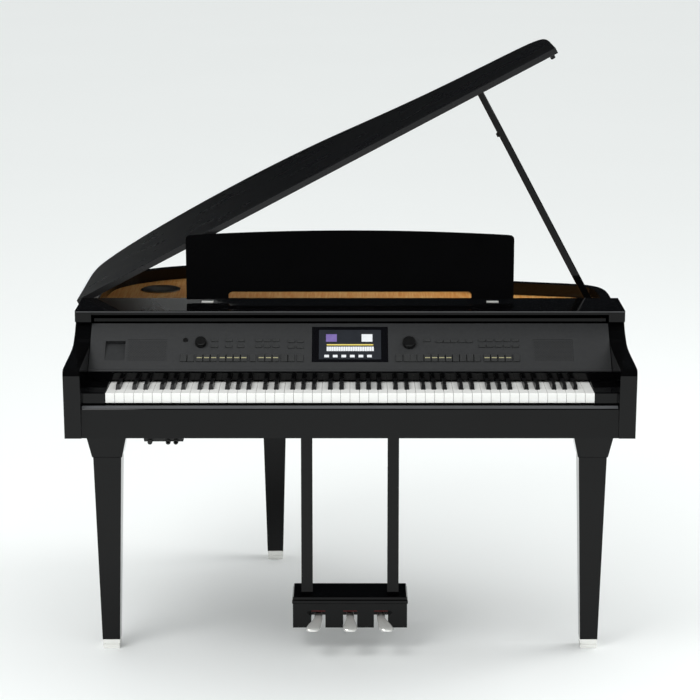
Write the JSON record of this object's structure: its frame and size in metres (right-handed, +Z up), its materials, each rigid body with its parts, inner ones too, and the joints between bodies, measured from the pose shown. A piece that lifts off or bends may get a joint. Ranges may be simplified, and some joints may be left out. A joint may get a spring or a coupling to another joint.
{
  "type": "digital grand piano",
  "caption": "Digital grand piano with an open lid on a stick, sliding key cover, folding music desk, control panel with screen, and a pedal lyre.",
  "frame": {"origin": "floor centre under the middle of the overall box", "axes": "+Z up, -Y towards the player, +X towards the treble end"},
  "size_m": [1.4418, 1.18, 1.5801],
  "materials": {
    "polished_ebony": "polished lacquer",
    "lid_satin_black": "satin lacquer",
    "satin_black": "satin lacquer",
    "spruce_veneer": "satin varnish",
    "speaker_ring": "satin",
    "polished_metal": "polished",
    "galvanised_steel": "galvanised",
    "panel_grey": "matte",
    "screen_glass": "gloss",
    "button_plastic": "matte",
    "knob_black": "satin",
    "rubber": "matte",
    "white_key": "gloss",
    "black_key": "satin",
    "jack_box_plastic": "matte"
  },
  "bodies": {
    "case": {"case_rim": "polished_ebony", "left_arm": "polished_ebony", "right_arm": "polished_ebony", "key_slip": "polished_ebony", "name_rail": "polished_ebony", "top_board": "polished_ebony", "desk_ledge": "polished_ebony", "left_leg": "polished_ebony", "right_leg": "polished_ebony", "rear_leg": "polished_ebony", "pedal_box": "polished_ebony", "left_post": "polished_ebony", "right_post": "polished_ebony", "bottom_board": "satin_black", "left_key_block": "satin_black", "right_key_block": "satin_black", "soundboard": "spruce_veneer", "speaker_unit": "speaker_ring", "lid_hinge": "polished_metal", "stick_bracket": "polished_metal", "left_desk_hinge": "polished_metal", "right_desk_hinge": "polished_metal", "left_foot": "polished_metal", "right_foot": "polished_metal", "rear_foot": "polished_metal", "key_frame": "galvanised_steel", "control_panel": "panel_grey", "lcd_module": "screen_glass", "jack_box": "jack_box_plastic"},
    "main_lid": {"main_lid": "lid_satin_black", "lid_bumper": "rubber"},
    "lid_stick": {"lid_stick": "polished_ebony"},
    "music_desk": {"music_desk": "polished_ebony"},
    "key_cover": {"key_cover": "polished_ebony"},
    "volume_knob": {"volume_knob": "knob_black"},
    "data_dial": {"data_dial": "knob_black"},
    "power_button": {"power_button": "knob_black"},
    "lower_left_buttons": {"lower_left_buttons": "button_plastic"},
    "lower_right_buttons": {"lower_right_buttons": "button_plastic"},
    "upper_left_buttons": {"upper_left_buttons": "button_plastic"},
    "upper_right_buttons": {"upper_right_buttons": "button_plastic"},
    "left_pedal": {"left_pedal": "polished_metal"},
    "middle_pedal": {"middle_pedal": "polished_metal"},
    "right_pedal": {"right_pedal": "polished_metal"},
    "key_c": {"key_c": "white_key"},
    "key_d": {"key_d": "white_key"},
    "key_e": {"key_e": "white_key"},
    "key_f": {"key_f": "white_key"},
    "key_g": {"key_g": "white_key"},
    "key_a": {"key_a": "white_key"},
    "key_b": {"key_b": "white_key"},
    "key_c_sharp": {"key_c_sharp": "black_key"},
    "key_d_sharp": {"key_d_sharp": "black_key"},
    "key_f_sharp": {"key_f_sharp": "black_key"},
    "key_g_sharp": {"key_g_sharp": "black_key"},
    "key_a_sharp": {"key_a_sharp": "black_key"},
    "naturals_bass": {"naturals_bass": "white_key"},
    "naturals_treble": {"naturals_treble": "white_key"},
    "sharps_bass": {"sharps_bass": "black_key"},
    "sharps_treble": {"sharps_treble": "black_key"}
  },
  "joints": [
    {"name": "lid_hinge_turn", "type": "hinge", "parent": "case", "child": "main_lid", "pos_m": [-0.70404, 0.06, 0.893], "axis": [0, -1, 0], "range_deg": [0, 4]},
    {"name": "stick_fold", "type": "hinge", "parent": "case", "child": "lid_stick", "pos_m": [0.66296, -0.045, 0.872], "axis": [0, -1, 0], "range_deg": [0, 61.5]},
    {"name": "desk_fold", "type": "hinge", "parent": "case", "child": "music_desk", "pos_m": [0.00796, -0.187, 0.9225], "axis": [1, 0, 0], "range_deg": [0, 105]},
    {"name": "cover_slide_on_track", "type": "hinge", "parent": "case", "child": "key_cover", "pos_m": [0.00796, -0.3108, 0.5905], "axis": [1, 0, 0], "range_deg": [0, 62]},
    {"name": "volume_turn", "type": "hinge", "parent": "case", "child": "volume_knob", "pos_m": [-0.37704, -0.33905, 0.83763], "axis": [0, -0.6614, 0.75], "range_deg": [-150, 150]},
    {"name": "dial_turn", "type": "hinge", "parent": "case", "child": "data_dial", "pos_m": [0.16056, -0.3398, 0.83697], "axis": [0, -0.6614, 0.75], "continuous": true},
    {"name": "lower_left_buttons_press", "type": "slide", "parent": "case", "child": "lower_left_buttons", "axis": [0, 0.6614, -0.75], "range_m": [0, 0.0008], "stiffness_N_per_m": 2000, "springref_m": -0.001},
    {"name": "lower_right_buttons_press", "type": "slide", "parent": "case", "child": "lower_right_buttons", "axis": [0, 0.6614, -0.75], "range_m": [0, 0.0008], "stiffness_N_per_m": 2000, "springref_m": -0.001},
    {"name": "upper_left_buttons_press", "type": "slide", "parent": "case", "child": "upper_left_buttons", "axis": [0, 0.6614, -0.75], "range_m": [0, 0.0008], "stiffness_N_per_m": 2000, "springref_m": -0.001},
    {"name": "upper_right_buttons_press", "type": "slide", "parent": "case", "child": "upper_right_buttons", "axis": [0, 0.6614, -0.75], "range_m": [0, 0.0008], "stiffness_N_per_m": 2000, "springref_m": -0.001},
    {"name": "power_button_press", "type": "slide", "parent": "case", "child": "power_button", "axis": [0, 0.6614, -0.75], "range_m": [0, 0.0008], "stiffness_N_per_m": 1000, "springref_m": -0.001},
    {"name": "left_pedal_press", "type": "hinge", "parent": "case", "child": "left_pedal", "pos_m": [-0.07564, -0.238, 0.092], "axis": [1, 0, 0], "range_deg": [0, 4.5], "stiffness_Nm_per_rad": 8, "springref_deg": -5.73},
    {"name": "middle_pedal_press", "type": "hinge", "parent": "case", "child": "middle_pedal", "pos_m": [0.00846, -0.238, 0.092], "axis": [1, 0, 0], "range_deg": [0, 4.5], "stiffness_Nm_per_rad": 8, "springref_deg": -5.73},
    {"name": "right_pedal_press", "type": "hinge", "parent": "case", "child": "right_pedal", "pos_m": [0.08976, -0.238, 0.092], "axis": [1, 0, 0], "range_deg": [0, 4.5], "stiffness_Nm_per_rad": 8, "springref_deg": -5.73},
    {"name": "key_c_press", "type": "hinge", "parent": "case", "child": "key_c", "pos_m": [0.00796, -0.326, 0.742], "axis": [1, 0, 0], "range_deg": [0, 2.5], "stiffness_Nm_per_rad": 2, "springref_deg": -8.59},
    {"name": "key_d_press", "type": "hinge", "parent": "case", "child": "key_d", "pos_m": [0.00796, -0.326, 0.742], "axis": [1, 0, 0], "range_deg": [0, 2.5], "stiffness_Nm_per_rad": 2, "springref_deg": -8.59},
    {"name": "key_e_press", "type": "hinge", "parent": "case", "child": "key_e", "pos_m": [0.00796, -0.326, 0.742], "axis": [1, 0, 0], "range_deg": [0, 2.5], "stiffness_Nm_per_rad": 2, "springref_deg": -8.59},
    {"name": "key_f_press", "type": "hinge", "parent": "case", "child": "key_f", "pos_m": [0.00796, -0.326, 0.742], "axis": [1, 0, 0], "range_deg": [0, 2.5], "stiffness_Nm_per_rad": 2, "springref_deg": -8.59},
    {"name": "key_g_press", "type": "hinge", "parent": "case", "child": "key_g", "pos_m": [0.00796, -0.326, 0.742], "axis": [1, 0, 0], "range_deg": [0, 2.5], "stiffness_Nm_per_rad": 2, "springref_deg": -8.59},
    {"name": "key_a_press", "type": "hinge", "parent": "case", "child": "key_a", "pos_m": [0.00796, -0.326, 0.742], "axis": [1, 0, 0], "range_deg": [0, 2.5], "stiffness_Nm_per_rad": 2, "springref_deg": -8.59},
    {"name": "key_b_press", "type": "hinge", "parent": "case", "child": "key_b", "pos_m": [0.00796, -0.326, 0.742], "axis": [1, 0, 0], "range_deg": [0, 2.5], "stiffness_Nm_per_rad": 2, "springref_deg": -8.59},
    {"name": "key_c_sharp_press", "type": "hinge", "parent": "case", "child": "key_c_sharp", "pos_m": [0.00796, -0.326, 0.742], "axis": [1, 0, 0], "range_deg": [0, 2.5], "stiffness_Nm_per_rad": 0.6, "springref_deg": -8.59},
    {"name": "key_d_sharp_press", "type": "hinge", "parent": "case", "child": "key_d_sharp", "pos_m": [0.00796, -0.326, 0.742], "axis": [1, 0, 0], "range_deg": [0, 2.5], "stiffness_Nm_per_rad": 0.6, "springref_deg": -8.59},
    {"name": "key_f_sharp_press", "type": "hinge", "parent": "case", "child": "key_f_sharp", "pos_m": [0.00796, -0.326, 0.742], "axis": [1, 0, 0], "range_deg": [0, 2.5], "stiffness_Nm_per_rad": 0.6, "springref_deg": -8.59},
    {"name": "key_g_sharp_press", "type": "hinge", "parent": "case", "child": "key_g_sharp", "pos_m": [0.00796, -0.326, 0.742], "axis": [1, 0, 0], "range_deg": [0, 2.5], "stiffness_Nm_per_rad": 0.6, "springref_deg": -8.59},
    {"name": "key_a_sharp_press", "type": "hinge", "parent": "case", "child": "key_a_sharp", "pos_m": [0.00796, -0.326, 0.742], "axis": [1, 0, 0], "range_deg": [0, 2.5], "stiffness_Nm_per_rad": 0.6, "springref_deg": -8.59},
    {"name": "naturals_bass_press", "type": "hinge", "parent": "case", "child": "naturals_bass", "pos_m": [0.00796, -0.326, 0.742], "axis": [1, 0, 0], "range_deg": [0, 2.5], "stiffness_Nm_per_rad": 40, "springref_deg": -8.59},
    {"name": "naturals_treble_press", "type": "hinge", "parent": "case", "child": "naturals_treble", "pos_m": [0.00796, -0.326, 0.742], "axis": [1, 0, 0], "range_deg": [0, 2.5], "stiffness_Nm_per_rad": 40, "springref_deg": -8.59},
    {"name": "sharps_bass_press", "type": "hinge", "parent": "case", "child": "sharps_bass", "pos_m": [0.00796, -0.326, 0.742], "axis": [1, 0, 0], "range_deg": [0, 2.5], "stiffness_Nm_per_rad": 14, "springref_deg": -8.59},
    {"name": "sharps_treble_press", "type": "hinge", "parent": "case", "child": "sharps_treble", "pos_m": [0.00796, -0.326, 0.742], "axis": [1, 0, 0], "range_deg": [0, 2.5], "stiffness_Nm_per_rad": 14, "springref_deg": -8.59}
  ]
}
